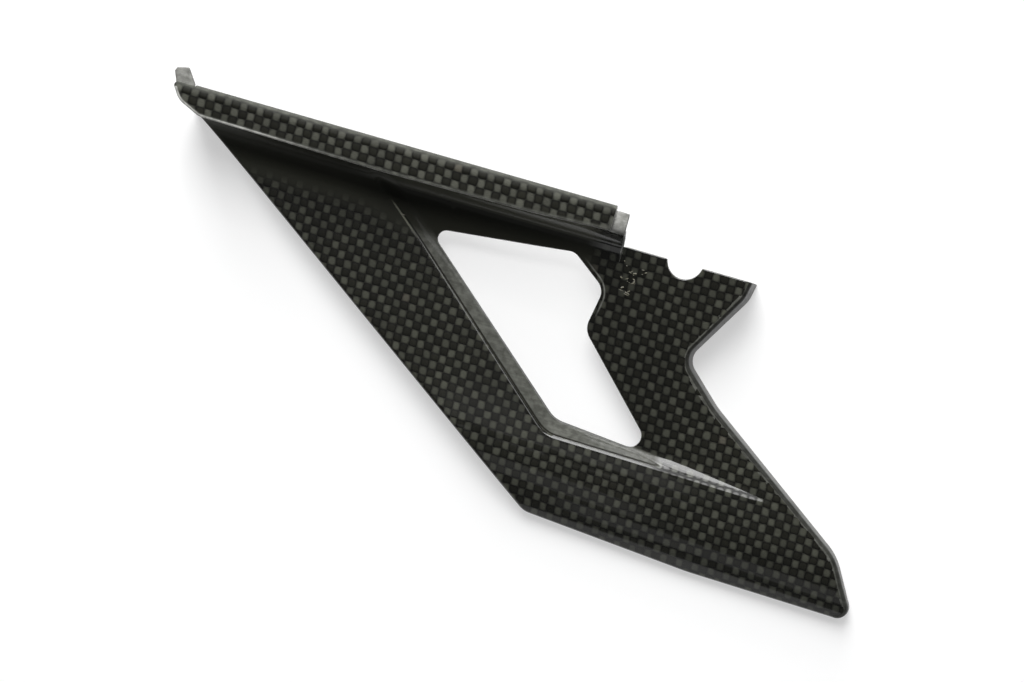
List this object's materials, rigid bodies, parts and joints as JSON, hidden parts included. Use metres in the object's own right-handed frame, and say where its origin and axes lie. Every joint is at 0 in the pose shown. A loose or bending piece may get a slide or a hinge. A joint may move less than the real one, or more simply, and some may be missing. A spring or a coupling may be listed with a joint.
{
  "type": "motorcycle chain guard",
  "caption": "Moulded woven-laminate chain guard: raised band round a slanted window, a bevelled inner panel, a deep rail with a bonded strip, and a lug with a half-round bolt notch.",
  "frame": {"origin": "centre of the half-round bolt notch, midway through the lug's thickness", "axes": "+X along the rail towards the lug, +Y across the rail away from the window, +Z outwards from the face; the trimmed base lies level below the origin"},
  "size_m": [0.1976, 0.0876, 0.025],
  "materials": {
    "woven_shell": "plain-weave carbon laminate under a satin clear coat, bare grey resin on the bevel and the trimmed ends",
    "woven_strip": "plain-weave carbon laminate under a satin clear coat"
  },
  "bodies": {
    "root": {"shell": "woven_shell", "rail_strip": "woven_strip"}
  },
  "joints": []
}
